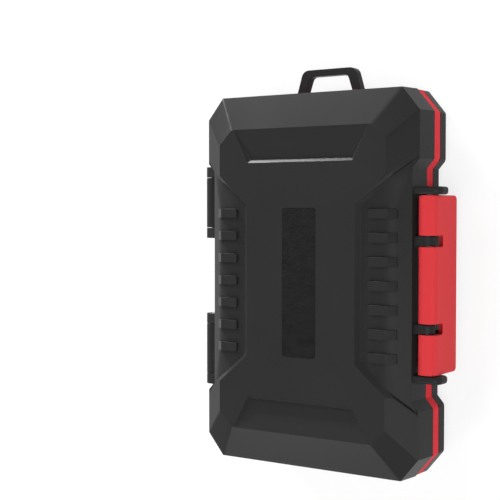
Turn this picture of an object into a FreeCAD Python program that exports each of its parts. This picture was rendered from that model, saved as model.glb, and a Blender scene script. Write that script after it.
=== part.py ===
# Memory card case: two bevelled shells, red liners with card wells, a latch and two barrel hinges.
# The closed case lies on its back: X runs from hinge to latch, Y to the loop, Z up to the lid's face.
import FreeCAD, Part
import os
import re

import Sketcher

doc = FreeCAD.newDocument("memory_card_case")
cuts = []

# Driving dimensions in millimetres, apart from counts and shares
SIZES = {
    # Outline that both shells share
    "case_length": 99.0,
    "case_width": 65.4,
    "corner_x": 4.9,
    "corner_y": 5.9,
    "waist_depth": 2.0,
    "waist_inner": 29.2,
    "waist_outer": 31.5,
    "waist_follow_share": 0.5,
    # Heights, from the back of the case upwards
    "base_height": 7.75,
    "base_bevel_height": 4.4,
    "base_bevel_run": 4.6,
    "band_height": 3.2,
    "seam_gap": 0.1,
    "lid_height": 12.6,
    "lid_bevel_height": 4.5,
    "lid_bevel_run_x": 7.1,
    "lid_bevel_run_y": 9.2,
    "face_corner_x": 4.1,
    "face_corner_y": 4.1,
    "lid_draft": 0.15,
    "hip_radius": 2.5,
    "edge_radius": 0.8,
    "band_corner": 2.5,
    # Walls and the steps of the hollow that follow the bevels
    "shell_wall": 1.6,
    "floor_wall": 1.8,
    "roof_wall": 2.75,
    "base_step": 2.9,
    "base_step_inset": 5.4,
    "lid_step": 7.35,
    "lid_step_inset_x": 7.1,
    "lid_step_inset_y": 6.0,
    "liner_gap": 0.1,
    "overrun": 1.0,
    # Side panels of the lid with their grip ribs
    "panel_depth": 1.2,
    "panel_inner": 17.9,
    "panel_inner_half": 19.8,
    "panel_outer_half": 32.5,
    "panel_slope": 1.2,
    "panel_slope_end": 1.58,
    "rib_count": 7,
    "rib_pitch": 6.05,
    "rib_width": 2.4,
    "rib_height": 0.7,
    "rib_inner": 20.3,
    "rib_outer": 27.7,
    # Sloped recesses at both ends of the lid's face
    "ramp_step": 32.0,
    "ramp_depth": 1.0,
    "ramp_step_half": 15.5,
    "ramp_flank": 1.0,
    "ramp_edge_half": 20.8,
    "ramp_feather": 0.02,
    "ramp_chamfer": 0.7,
    # Label plate
    "label_length": 38.95,
    "label_width": 10.2,
    "label_corner": 0.7,
    "label_depth": 0.6,
    "label_gap": 0.05,
    "face_shift": 0.3,
    # Carrying loop
    "loop_reach": 7.25,
    "loop_foot_half": 10.3,
    "loop_top_half": 8.15,
    "loop_gap_foot_half": 7.7,
    "loop_gap_top_half": 5.9,
    "loop_bar": 1.85,
    "loop_thickness": 2.5,
    "loop_rise": 1.0,
    "loop_corner": 2.3,
    "loop_inner_corner": 1.5,
    # Hinges
    "hinge_stand": 5.9,
    "hinge_offset": 20.85,
    "barrel_radius": 2.4,
    "diagonal_share": 0.7071,
    "barrel_length": 14.1,
    "knuckle_length": 2.9,
    "knuckle_gap": 0.15,
    "hinge_arm": 3.0,
    "hinge_arm_root": 2.2,
    "band_clear": 0.2,
    "hinge_pin_radius": 1.0,
    "pin_gap": 0.05,
    # Latch, its pin and what carries it on the lid
    "pivot_stand": 2.8,
    "pivot_rise": 4.95,
    "latch_pin_radius": 0.8,
    "latch_length": 44.9,
    "latch_barrel": 2.35,
    "latch_plate": 1.6,
    "latch_reach": 2.8,
    "latch_drop": 10.7,
    "latch_brow": 0.8,
    "latch_crown": 3.25,
    "latch_gap": 0.15,
    "latch_corner": 1.2,
    "ear_width": 2.0,
    "ear_reach": 4.5,
    "ear_top": 2.5,
    "ear_foot": 3.6,
    "ear_corner": 2.0,
    "lug_offset": 11.0,
    "lug_width": 2.45,
    "lug_radius": 2.0,
    "slot_clear": 1.75,
    # Hook bars of the latch and the ledge of the base under which they reach
    "hook_length": 11.0,
    "hook_end": 0.4,
    "hook_height": 1.0,
    "hook_clear": 0.15,
    "catch_reach": 1.85,
    "catch_height": 1.3,
    "catch_length": 10.0,
    "catch_place": 17.0,
    "catch_stop": 1.6,
    # Fine groove round the top of the base liner, and how far the lid liner stays above it
    "groove_inset": 2.0,
    "groove_width": 0.4,
    "groove_depth": 0.4,
    "liner_recess": 0.75,
    # Tabs of the lid that locate its liner
    "tab_length": 10.0,
    "tab_depth": 1.5,
    "tab_height": 3.0,
    # Cards that the wells take
    "card_gap": 0.3,
    "cf_length": 42.8,
    "cf_width": 36.4,
    "cf_depth": 5.0,
    "cf_margin": 5.0,
    "sd_length": 32.0,
    "sd_width": 24.0,
    "sd_depth": 5.0,
    "sd_margin": 8.7,
    "sd_rib": 1.8,
    "sd_rib_place": 1.6,
    "xqd_length": 38.5,
    "xqd_width": 29.8,
    "xqd_depth": 4.9,
    "lid_well_margin": 4.3,
    "lid_end_margin": 7.7,
    "lid_sd_depth": 4.4,
    "micro_length": 15.0,
    "micro_width": 11.0,
    "micro_depth": 2.2,
    "micro_rib": 2.1,
    "micro_finger": 6.0,
    "sim_length": 25.0,
    "sim_width": 15.0,
    "sim_show": 8.7,
    "sim_inset": 2.9,
    "small_sim_length": 15.0,
    "small_sim_width": 12.0,
    "small_sim_margin": 8.3,
    "small_sim_end": 9.0,
    "small_sim_rib": 1.6,
    "sim_depth": 1.7,
    # Combs, stairs, slits and finger recesses beside the wells
    "comb_depth": 1.2,
    "comb_tooth": 4.2,
    "comb_pitch": 7.6,
    "comb_count": 5,
    "comb_drop": 3.6,
    "stair_run": 6.2,
    "stair_rise": 1.7,
    "stair_count": 3,
    "stair_drop": 3.0,
    "finger_run": 3.4,
    "finger_length": 22.0,
    "finger_drop": 4.4,
    "slit_width": 1.0,
    "slit_length": 33.0,
    "slit_drop": 3.0,
    "slit_place": 4.2,
}

sheet = doc.addObject("Spreadsheet::Sheet", "Sizes")
for row, (alias, value) in enumerate(SIZES.items(), start=1):
    sheet.set(f"A{row}", alias)
    sheet.set(f"B{row}", str(value))
    sheet.setAlias(f"B{row}", alias)
doc.recompute()

# Places that several pieces share, as expressions of the sheet
HALF_WIDTH = "case_width / 2"
HALF_LENGTH = "case_length / 2"
WAIST = "(case_width / 2 - waist_depth)"
PARTING = "(base_height + band_height)"
LID_FOOT = f"({PARTING} + seam_gap)"
FACE = f"({PARTING} + lid_height)"
RIM = f"({FACE} - lid_bevel_height)"
LID_FLOOR = f"({PARTING} + liner_recess)"
ROOF = f"({FACE} - roof_wall)"
LID_LEDGE = f"({PARTING} + lid_step)"
BASE_LEDGE = "(base_height - base_step)"
HINGE_X = f"(-({WAIST} + hinge_stand))"
PIVOT_X = f"({WAIST} + pivot_stand)"
PIVOT_Z = f"({PARTING} + pivot_rise)"


def cells(expression):
    """Point each size in an expression at its cell of the sheet."""
    return re.sub(r"[a-z]\w*", lambda word: "Sizes." + word.group(0), expression)


def bind(thing, path, expression):
    thing.setExpression(path, cells(expression))


def size(alias):
    return float(sheet.get(alias))


def value_of_face():
    return size("base_height") + size("band_height") + size("lid_height")


def minus(expression):
    return f"-({expression})"


def rectangle(low_x, high_x, low_y, high_y):
    return [(low_x, low_y), (high_x, low_y), (high_x, high_y), (low_x, high_y)]


def octagon(half_x, half_y, cut_x, cut_y):
    """Rectangle with its corners cut off, anticlockwise from the right side's foot."""
    right = [(half_x, f"-({half_y} - {cut_y})"), (half_x, f"{half_y} - {cut_y}")]
    top = [(f"{half_x} - {cut_x}", half_y), (f"-({half_x} - {cut_x})", half_y)]
    left = [(minus(half_x), f"{half_y} - {cut_y}"), (minus(half_x), f"-({half_y} - {cut_y})")]
    bottom = [(f"-({half_x} - {cut_x})", minus(half_y)), (f"{half_x} - {cut_x}", minus(half_y))]
    return right + top + left + bottom


def waisted(inset):
    """Outline of the case, drawn in by an inset, with both long sides recessed in the middle."""
    half_x = f"({HALF_WIDTH} - ({inset}))"
    half_y = f"({HALF_LENGTH} - ({inset}))"
    narrow = f"({half_x} - waist_depth)"
    inner = f"(waist_inner + ({inset}) * waist_follow_share)"
    outer = f"(waist_outer + ({inset}) * waist_follow_share)"
    points = octagon(half_x, half_y, "corner_x", "corner_y")
    right = [(half_x, minus(outer)), (narrow, minus(inner)), (narrow, inner), (half_x, outer)]
    left = [(minus(x), minus(y)) for x, y in right]
    return points[:1] + right + points[1:5] + left + points[5:]


def plane(body, role):
    return next(item for item in body.Origin.OriginFeatures if item.Role == role)


def sketch(body, name, role, loops, offset="0"):
    """Closed polygons, and circles given as (x, y, radius), on an origin plane or beside it."""
    drawing = body.newObject("Sketcher::SketchObject", name)
    drawing.AttachmentSupport = [(plane(body, role), "")]
    drawing.MapMode = "FlatFace"
    bind(drawing, "AttachmentOffset.Base.z", offset)
    for loop in loops:
        if isinstance(loop, tuple):
            add_circle(drawing, loop)
        else:
            add_polygon(drawing, loop)
    return drawing


def add_polygon(drawing, points):
    first = drawing.GeometryCount
    count = len(points)
    corners = [FreeCAD.Vector(step, step * step, 0) for step in range(count)]
    drawing.addGeometry([Part.LineSegment(corners[step - 1], corners[step]) for step in range(count)])
    joins = [
        Sketcher.Constraint("Coincident", first + step, 2, first + (step + 1) % count, 1)
        for step in range(count)
    ]
    drawing.addConstraint(joins)
    holds = []
    for step in range(count):
        holds.append(Sketcher.Constraint("DistanceX", first + step, 2, corners[step].x))
        holds.append(Sketcher.Constraint("DistanceY", first + step, 2, corners[step].y))
    start = drawing.ConstraintCount
    drawing.addConstraint(holds)
    for step, (x, y) in enumerate(points):
        bind(drawing, f"Constraints[{start + 2 * step}]", x)
        bind(drawing, f"Constraints[{start + 2 * step + 1}]", y)


def add_circle(drawing, circle):
    x, y, radius = circle
    index = drawing.GeometryCount
    drawing.addGeometry(Part.Circle(FreeCAD.Vector(), FreeCAD.Vector(0, 0, 1), 1))
    start = drawing.ConstraintCount
    across = Sketcher.Constraint("DistanceX", index, 3, 1.0)
    along_side = Sketcher.Constraint("DistanceY", index, 3, 1.0)
    drawing.addConstraint([across, along_side, Sketcher.Constraint("Radius", index, 1.0)])
    for step, expression in enumerate((x, y, radius)):
        bind(drawing, f"Constraints[{start + step}]", expression)


def prism(body, name, drawing, length, kind="Pad", both_ways=False, backwards=False):
    feature = body.newObject("PartDesign::" + kind, name)
    feature.Profile = drawing
    bind(feature, "Length", length)
    feature.Midplane = both_ways
    feature.Reversed = backwards
    return feature


def pad(body, name, role, loops, length, offset="0", **ways):
    return prism(body, name, sketch(body, name + "_sketch", role, loops, offset), length, "Pad", **ways)


def pocket(body, name, role, loops, length, offset="0", **ways):
    drawing = sketch(body, name + "_sketch", role, loops, offset)
    feature = prism(body, name, drawing, length, "Pocket", **ways)
    cuts.append(feature)
    return feature


def loft(body, name, kind, role, sections):
    """Ruled loft through (polygon, offset) sections."""
    drawings = []
    for index, (points, offset) in enumerate(sections):
        drawings.append(sketch(body, f"{name}_section_{index}", role, [points], offset))
    feature = body.newObject("PartDesign::" + kind, name)
    feature.Profile = drawings[0]
    feature.Sections = drawings[1:]
    feature.Ruled = True
    return feature


def mirrored(body, name, features, role):
    copy = body.newObject("PartDesign::Mirrored", name)
    copy.Originals = features
    copy.MirrorPlane = (plane(body, role), [""])
    body.Tip = copy
    return copy


def dress(body, name, kind, value, wanted):
    """Fillet or chamfer of the body's edges that a test picks."""
    doc.recompute()
    base = body.Tip
    names = [f"Edge{number}" for number, edge in enumerate(base.Shape.Edges, start=1) if wanted(edge)]
    if not names:
        raise RuntimeError(f"{name} finds no edge")
    feature = body.newObject("PartDesign::" + kind, name)
    feature.Base = (base, names)
    bind(feature, "Radius" if kind == "Fillet" else "Size", value)
    return feature


def along(edge, axis):
    """True for a straight edge that runs along one axis, 0 to 2."""
    if edge.Degenerated or edge.Curve.TypeId != "Part::GeomLine":
        return False
    ends = [vertex.Point for vertex in edge.Vertexes]
    across = [abs(ends[1][other] - ends[0][other]) for other in range(3) if other != axis]
    return max(across) < edge.Length * 1e-6


def outer_run(edge, levels, beyond):
    """Names of the levels that a straight edge near the case's ends joins, lower one first."""
    if edge.Degenerated or len(edge.Vertexes) < 2:
        return None
    ends = sorted((vertex.Point for vertex in edge.Vertexes), key=lambda point: point.z)
    if edge.Length - ends[0].distanceToPoint(ends[1]) > size("ramp_feather"):
        return None
    names = []
    for point in ends:
        found = [name for name, z in levels.items() if abs(point.z - z) < size("pin_gap")]
        if not found or (found[0] != "face" and abs(point.y) < beyond):
            return None
        names += found
    return tuple(names)


def new_body(name):
    body = doc.addObject("PartDesign::Body", name)
    body.Label = name
    return body


def hinge_knuckles(body, name, loops, length, offset):
    """One moulded form on the hinge nearer the loop and its twin on the other hinge."""
    form = pad(body, name, "XZ_Plane", loops, length, offset, both_ways=True)
    return mirrored(body, name + "_twin", [form], "XZ_Plane")


def make_base_shell():
    body = new_body("base_shell")
    floor = octagon(
        f"({HALF_WIDTH} - base_bevel_run)", f"({HALF_LENGTH} - base_bevel_run)", "corner_x", "corner_y"
    )
    wide = octagon(f"({HALF_WIDTH})", f"({HALF_LENGTH})", "corner_x", "corner_y")
    sections = [(floor, "0"), (wide, "base_bevel_height"), (wide, "base_height")]
    loft(body, "base_form", "AdditiveLoft", "XY_Plane", sections)
    narrow_base(body)
    pocket(body, "base_hollow", "XY_Plane", [waisted("shell_wall")], "base_step", "base_height")
    deep = octagon(
        f"({HALF_WIDTH} - base_step_inset)", f"({HALF_LENGTH} - base_step_inset)", "corner_x", "corner_y"
    )
    pocket(body, "base_well", "XY_Plane", [deep], f"{BASE_LEDGE} - floor_wall", BASE_LEDGE)
    make_loop(body)
    make_barrels(body)
    make_catch(body)
    soften_base(body)
    return body


def soften_base(body):
    """Round the outer edges at both ends of the base."""
    levels = {"floor": 0, "bevel": size("base_bevel_height"), "top": size("base_height")}
    beyond = size("waist_outer") - size("pin_gap")
    wanted = {("floor", "bevel"), ("bevel", "bevel"), ("bevel", "top")}
    dress(
        body, "base_edges", "Fillet", "edge_radius",
        lambda edge: outer_run(edge, levels, beyond) in wanted,
    )


def narrow_base(body):
    """Cut both long sides back in the middle, bevelled below as the rest of the base is."""
    slope = "(waist_outer - waist_inner) / waist_depth"
    edge = f"({HALF_WIDTH} + overrun)"
    sections = []
    below = "base_bevel_run * (1 + overrun / base_bevel_height)"
    levels = [("-overrun", below), ("base_bevel_height", "0"), ("base_height + overrun", "0")]
    for level, inset in levels:
        inner = f"({WAIST} - {inset})"
        low = f"(waist_inner + {inset} * waist_follow_share)"
        high = f"({low} + ({edge} - {inner}) * {slope})"
        sections.append(([(inner, minus(low)), (edge, minus(high)), (edge, high), (inner, low)], level))
    cut = loft(body, "base_waist", "SubtractiveLoft", "XY_Plane", sections)
    mirrored(body, "base_waist_twin", [cut], "YZ_Plane")


def make_loop(body):
    inside = f"({HALF_LENGTH} - shell_wall / 2)"
    crown = f"({HALF_LENGTH} + loop_reach)"
    outer = [
        (minus("loop_foot_half"), inside),
        ("loop_foot_half", inside),
        ("loop_foot_half", HALF_LENGTH),
        ("loop_top_half", crown),
        (minus("loop_top_half"), crown),
        (minus("loop_foot_half"), HALF_LENGTH),
    ]
    under = f"({crown} - loop_bar)"
    gap = [
        (minus("loop_gap_foot_half"), HALF_LENGTH),
        ("loop_gap_foot_half", HALF_LENGTH),
        ("loop_gap_top_half", under),
        (minus("loop_gap_top_half"), under),
    ]
    top_level = "(base_height + loop_rise)"
    pad(body, "loop", "XY_Plane", [outer], "loop_thickness", f"{top_level} - loop_thickness")
    pocket(body, "loop_gap", "XY_Plane", [gap], "loop_thickness", top_level)
    relief = rectangle(
        "-(loop_foot_half + overrun)", "loop_foot_half + overrun",
        f"{inside} - overrun", f"{HALF_LENGTH} + seam_gap",
    )
    pocket(body, "loop_relief", "XY_Plane", [relief], "loop_rise", top_level)
    top = size("case_length") / 2 + size("loop_reach")
    below = top - size("loop_bar")
    near = size("overrun") / 2

    def at_height(edge, y):
        return along(edge, 2) and abs(edge.CenterOfMass.y - y) < near

    dress(body, "loop_crown", "Fillet", "loop_corner", lambda edge: at_height(edge, top))
    dress(body, "loop_gap_round", "Fillet", "loop_inner_corner", lambda edge: at_height(edge, below))


def make_barrels(body):
    arm = [
        (f"{HINGE_X} - barrel_radius * diagonal_share", f"{PARTING} - barrel_radius * diagonal_share"),
        (f"-({WAIST} + hinge_arm_root)", f"base_bevel_height"),
        (f"-({WAIST} - shell_wall / 2)", f"base_bevel_height"),
        (f"-({WAIST} - shell_wall / 2)", "base_height"),
        (f"-({WAIST} + band_clear)", "base_height"),
        (f"-({WAIST} + band_clear)", f"{PARTING} - hinge_arm"),
        (f"{HINGE_X} + barrel_radius * diagonal_share", f"{PARTING} - barrel_radius * diagonal_share"),
    ]
    hinge_knuckles(body, "hinge_arms", [arm], "barrel_length", minus("hinge_offset"))
    barrel = (HINGE_X, PARTING, "barrel_radius")
    hinge_knuckles(body, "hinge_barrels", [barrel], "barrel_length", minus("hinge_offset"))
    bore = (HINGE_X, PARTING, "hinge_pin_radius + pin_gap")
    pocket(body, "hinge_bores", "XZ_Plane", [bore], "case_length", both_ways=True)


def make_catch(body):
    wall = f"({WAIST} - shell_wall / 2)"
    reach = f"({WAIST} + catch_reach)"
    under = "(base_height - catch_height)"
    ledge = [(wall, under), (reach, under), (reach, "base_height"), (wall, "base_height")]
    hinge_knuckles(body, "catch_ledge", [ledge], "catch_length", minus("catch_place"))
    stop = [(wall, "base_bevel_height"), (WAIST, "base_bevel_height"), (reach, under), (wall, under)]
    place = "-(catch_place + (catch_length - catch_stop) / 2)"
    hinge_knuckles(body, "catch_stop", [stop], "catch_stop", place)


def waist_cut(side):
    """What the recess of a long side takes away, running on past the shell's side."""
    slope = "(waist_outer - waist_inner) / waist_depth"
    edge = f"({HALF_WIDTH} + overrun)"
    half = f"(waist_outer + overrun * {slope})"
    points = [(WAIST, minus("waist_inner")), (edge, minus(half)), (edge, half), (WAIST, "waist_inner")]
    return [(f"{side} * ({x})", y) for x, y in points]


def panel_outline(side):
    """Trapezoid of a side panel, running on past the shell's side along its slanted edges."""
    slope = "(panel_outer_half - panel_inner_half) / (case_width / 2 - panel_inner)"
    edge = f"({HALF_WIDTH} + overrun)"
    half = f"(panel_outer_half + overrun * {slope})"
    points = [("panel_inner", minus("panel_inner_half")), (edge, minus(half))]
    points += [(edge, half), ("panel_inner", "panel_inner_half")]
    return [(f"{side} * ({x})", y) for x, y in points]


def slope_panels(body):
    """Lean the panels' walls back where they rise to the face."""
    slant = "(panel_outer_half - panel_inner_half) / (case_width / 2 - panel_inner)"
    edge = f"({HALF_WIDTH} + overrun)"
    sections = []
    levels = [(f"{FACE} - panel_depth", "0"), (f"{FACE} + overrun", "(1 + overrun / panel_depth)")]
    for level, growth in levels:
        inner = f"(panel_inner - panel_slope * {growth})"
        half = f"(panel_inner_half + panel_slope_end * {growth})"
        low = f"({half} + ({inner} - panel_inner) * {slant})"
        high = f"({half} + ({edge} - panel_inner) * {slant})"
        sections.append(([(inner, minus(low)), (edge, minus(high)), (edge, high), (inner, low)], level))
    cut = loft(body, "panel_slope", "SubtractiveLoft", "XY_Plane", sections)
    mirrored(body, "panel_slope_twin", [cut], "YZ_Plane")


def make_lid_shell():
    body = new_body("lid_shell")
    foot = octagon(
        f"({HALF_WIDTH} + lid_draft)", f"({HALF_LENGTH} + lid_draft)", "corner_x", "corner_y"
    )
    rim = octagon(f"({HALF_WIDTH})", f"({HALF_LENGTH})", "corner_x", "corner_y")
    face = octagon(
        f"({HALF_WIDTH} - lid_bevel_run_x)", f"({HALF_LENGTH} - lid_bevel_run_y)",
        "face_corner_x", "face_corner_y",
    )
    loft(body, "lid_form", "AdditiveLoft", "XY_Plane", [(foot, LID_FOOT), (rim, RIM), (face, FACE)])
    pocket(
        body, "lid_panels", "XY_Plane", [panel_outline(1), panel_outline(-1)],
        "lid_bevel_height + overrun", f"{FACE} + overrun",
    )
    slope_panels(body)
    pocket(
        body, "lid_waist", "XY_Plane", [waist_cut(1), waist_cut(-1)],
        f"{RIM} - {LID_FOOT} + overrun", RIM,
    )
    slope = "lid_bevel_run_x / lid_bevel_height"
    shoulder = f"({WAIST} - (lid_bevel_height - panel_depth) * {slope})"
    top = f"({FACE} - panel_depth)"
    core = [
        (WAIST, LID_FOOT), (WAIST, RIM), (shoulder, top),
        (minus(shoulder), top), (minus(WAIST), RIM), (minus(WAIST), LID_FOOT),
    ]
    pad(body, "lid_core", "XZ_Plane", [core], "2 * waist_outer", both_ways=True)
    make_ribs(body)
    make_ramps(body)
    label = rectangle(
        "-(label_width / 2 + label_gap)", "label_width / 2 + label_gap",
        "-(label_length / 2 + label_gap + face_shift)", "label_length / 2 + label_gap - face_shift",
    )
    pocket(body, "label_seat", "XY_Plane", [label], "label_depth", FACE)
    across = size("label_width") / 2
    dress(
        body, "label_seat_round", "Fillet", "label_corner",
        lambda edge: along(edge, 2) and abs(abs(edge.CenterOfMass.x) - across) < size("label_gap") * 2
        and edge.Length < size("panel_depth"),
    )
    hollow_lid(body)
    make_lid_lugs(body)
    make_latch_mounts(body)
    soften_lid(body)
    return body


def soften_lid(body):
    """Round the hips where the bevels meet at the corners."""
    face = value_of_face()
    levels = {"rim": face - size("lid_bevel_height"), "face": face}
    corner = size("case_length") / 2 - size("corner_y") - size("pin_gap")
    dress(
        body, "lid_hips", "Fillet", "hip_radius",
        lambda edge: outer_run(edge, levels, corner) == ("rim", "face"),
    )


def make_ribs(body):
    floor = f"({FACE} - panel_depth)"
    crest = f"({floor} + rib_height)"
    root = f"({floor} - overrun)"
    slope = "lid_bevel_run_x / lid_bevel_height"
    brow = f"({WAIST} - (lid_bevel_height - panel_depth) * {slope})"
    toe = f"({floor} - (rib_outer - {brow}) / ({slope}))"
    rib = [
        ("rib_inner", root), ("rib_outer", f"{toe} - overrun"), ("rib_outer", f"{toe} + rib_height / 2"),
        (brow, crest), ("rib_inner", crest),
    ]
    twin = [(minus(x), z) for x, z in rib]
    end = "(rib_count - 1) * rib_pitch / 2"
    place = f"face_shift - {end}"
    first = pad(body, "rib", "XZ_Plane", [rib, twin], "rib_width", place, both_ways=True)
    row = body.newObject("PartDesign::LinearPattern", "rib_row")
    row.Originals = [first]
    row.Direction = (plane(body, "Y_Axis"), [""])
    row.Reversed = True
    bind(row, "Length", "(rib_count - 1) * rib_pitch")
    bind(row, "Occurrences", "rib_count")
    body.Tip = row


def make_ramps(body):
    sections = []
    for half, depth in (("ramp_step_half", "ramp_depth"), ("ramp_edge_half", "ramp_feather")):
        floor = f"({FACE} - {depth})"
        brim = f"({FACE} + overrun)"
        wide = f"({half} + ramp_flank * ({depth} + overrun) / ramp_depth)"
        sections.append([(minus(half), floor), (half, floor), (wide, brim), (minus(wide), brim)])
    step, edge = sections
    end = f"{HALF_LENGTH} - lid_bevel_run_y"
    ramp = loft(
        body, "ramp", "SubtractiveLoft", "XZ_Plane", [(step, minus("ramp_step")), (edge, f"-({end})")]
    )
    mirrored(body, "ramp_twin", [ramp], "XZ_Plane")
    step_place = size("ramp_step")
    dress(
        body, "ramp_brow", "Chamfer", "ramp_chamfer",
        lambda edge: along(edge, 0) and abs(abs(edge.CenterOfMass.y) - step_place) < size("ramp_feather")
        and edge.CenterOfMass.z > value_of_face() - size("ramp_feather"),
    )


def hollow_lid(body):
    """Two-step hollow with a locating tab left standing on each long side."""
    pocket(
        body, "lid_hollow", "XY_Plane", [waisted("shell_wall")], f"{LID_LEDGE} - {LID_FOOT}", LID_FOOT,
        backwards=True,
    )
    deep = octagon(
        f"({HALF_WIDTH} - lid_step_inset_x)", f"({HALF_LENGTH} - lid_step_inset_y)", "corner_x", "corner_y"
    )
    pocket(body, "lid_well", "XY_Plane", [deep], f"{ROOF} - {LID_LEDGE}", LID_LEDGE, backwards=True)
    wall = f"({WAIST} - shell_wall / 2)"
    tip = f"({WAIST} - shell_wall - tab_depth)"
    right = rectangle(tip, wall, "-tab_length / 2", "tab_length / 2")
    left = [(minus(x), y) for x, y in right]
    pad(body, "lid_tabs", "XY_Plane", [right, left], "tab_height", LID_FLOOR)


def make_lid_lugs(body):
    """Knuckles at both ends of each hinge barrel, on arms from the lid's side wall."""
    wall = f"-({WAIST} - shell_wall / 4)"
    arm = [
        (HINGE_X, LID_FOOT),
        (wall, LID_FOOT),
        (wall, f"{LID_FOOT} + hinge_arm"),
        (f"-({WAIST} + hinge_arm_root)", f"{LID_FOOT} + hinge_arm"),
        (f"{HINGE_X}", f"{PARTING} + barrel_radius"),
    ]
    knuckle = (HINGE_X, PARTING, "barrel_radius")
    reach = "(barrel_length / 2 + knuckle_gap + knuckle_length / 2)"
    for end, place in (("near", f"hinge_offset - {reach}"), ("far", f"hinge_offset + {reach}")):
        hinge_knuckles(body, f"lug_arm_{end}", [arm], "knuckle_length", f"-({place})")
        hinge_knuckles(body, f"lug_{end}", [knuckle], "knuckle_length", f"-({place})")
    bore = (HINGE_X, PARTING, "hinge_pin_radius + pin_gap")
    pocket(body, "lug_bores", "XZ_Plane", [bore], "case_length", both_ways=True)


def make_latch_mounts(body):
    """Ears at the latch's ends and two lugs between its knuckles, bored for the latch pin."""
    wall = f"({WAIST} - shell_wall / 2)"
    ear = rectangle(wall, f"{PIVOT_X} + ear_reach", f"{PIVOT_Z} - ear_foot", f"{PIVOT_Z} + ear_top")
    place = "-(latch_length / 2 + latch_gap + ear_width / 2)"
    hinge_knuckles(body, "ear", [ear], "ear_width", place)
    outer = size("case_width") / 2 - size("waist_depth") + size("pivot_stand") + size("ear_reach")
    dress(
        body, "ear_round", "Fillet", "ear_corner",
        lambda edge: along(edge, 1) and abs(edge.CenterOfMass.x - outer) < size("latch_gap"),
    )
    arm = rectangle(wall, PIVOT_X, f"{PIVOT_Z} - lug_radius", f"{PIVOT_Z} + lug_radius")
    hinge_knuckles(body, "latch_lug_arm", [arm], "lug_width", minus("lug_offset"))
    hinge_knuckles(body, "latch_lug", [(PIVOT_X, PIVOT_Z, "lug_radius")], "lug_width", minus("lug_offset"))
    bore = (PIVOT_X, PIVOT_Z, "latch_pin_radius + pin_gap")
    pocket(body, "latch_bores", "XZ_Plane", [bore], "latch_length + 4 * ear_width", both_ways=True)


def make_latch():
    body = new_body("latch")
    outer = f"({PIVOT_X} + latch_reach)"
    inner = f"({outer} - latch_plate)"
    crest = f"({PIVOT_X} + latch_crown)"
    top = f"({PIVOT_Z} + latch_barrel)"
    foot = f"({PIVOT_Z} - latch_drop)"
    plate = [
        (PIVOT_X, PIVOT_Z), (inner, f"{PIVOT_Z} - latch_barrel"), (inner, foot), (outer, foot),
        (crest, f"{top} - latch_brow"), (f"{crest} - latch_brow", top), (PIVOT_X, top),
    ]
    pad(body, "latch_plate_form", "XZ_Plane", [plate], "latch_length", both_ways=True)
    barrel = (PIVOT_X, PIVOT_Z, "latch_barrel")
    pad(body, "latch_barrel_form", "XZ_Plane", [barrel], "latch_length", both_ways=True)
    reach = f"({WAIST} + catch_reach + hook_clear)"
    hook = [(reach, foot), (inner, foot), (inner, f"{foot} + hook_height"), (reach, f"{foot} + hook_height")]
    place = "-(latch_length / 2 - hook_end - hook_length / 2)"
    hinge_knuckles(body, "hook", [hook], "hook_length", place)
    slot = (PIVOT_X, PIVOT_Z, "lug_radius + slot_clear")
    width = "lug_width + 2 * latch_gap"
    cut = pocket(body, "lug_slot", "XZ_Plane", [slot], width, minus("lug_offset"), both_ways=True)
    mirrored(body, "lug_slot_twin", [cut], "XZ_Plane")
    bore = (PIVOT_X, PIVOT_Z, "latch_pin_radius + pin_gap")
    pocket(body, "latch_bore", "XZ_Plane", [bore], "latch_length + 2 * overrun", both_ways=True)
    low = value_of_face() - size("lid_height") + size("pivot_rise") - size("latch_drop")
    dress(
        body, "latch_round", "Fillet", "latch_corner",
        lambda edge: along(edge, 0) and abs(edge.CenterOfMass.z - low) < size("latch_gap")
        and abs(edge.CenterOfMass.y) > size("latch_length") / 2 - size("latch_gap"),
    )
    return body


def well(body, name, low_x, high_x, low_y, high_y, depth, top, backwards=False):
    return pocket(
        body, name, "XY_Plane", [rectangle(low_x, high_x, low_y, high_y)], depth, top, backwards=backwards
    )


def make_base_liner():
    body = new_body("base_liner")
    gap_inset = "shell_wall + liner_gap"
    pad(body, "band", "XY_Plane", [waisted("0")], "band_height", "base_height")
    side = size("case_width") / 2 - size("pin_gap")
    turn = size("waist_outer")
    dress(
        body, "band_round", "Fillet", "band_corner",
        lambda edge: along(edge, 2) and abs(edge.CenterOfMass.x) > side
        and abs(abs(edge.CenterOfMass.y) - turn) < size("pin_gap"),
    )
    pad(body, "liner_rim", "XY_Plane", [waisted(gap_inset)], "base_step - liner_gap", "base_height",
        backwards=True)
    deep = octagon(
        f"({HALF_WIDTH} - base_step_inset - liner_gap)", f"({HALF_LENGTH} - base_step_inset - liner_gap)",
        "corner_x", "corner_y",
    )
    pad(body, "liner_block", "XY_Plane", [deep], f"{BASE_LEDGE} - floor_wall",
        f"{BASE_LEDGE} + liner_gap", backwards=True)
    ring = [waisted("groove_inset"), waisted("groove_inset + groove_width")]
    pocket(body, "groove", "XY_Plane", ring, "groove_depth", PARTING)
    cut_cf_well(body)
    cut_sd_wells(body)
    return body


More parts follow.
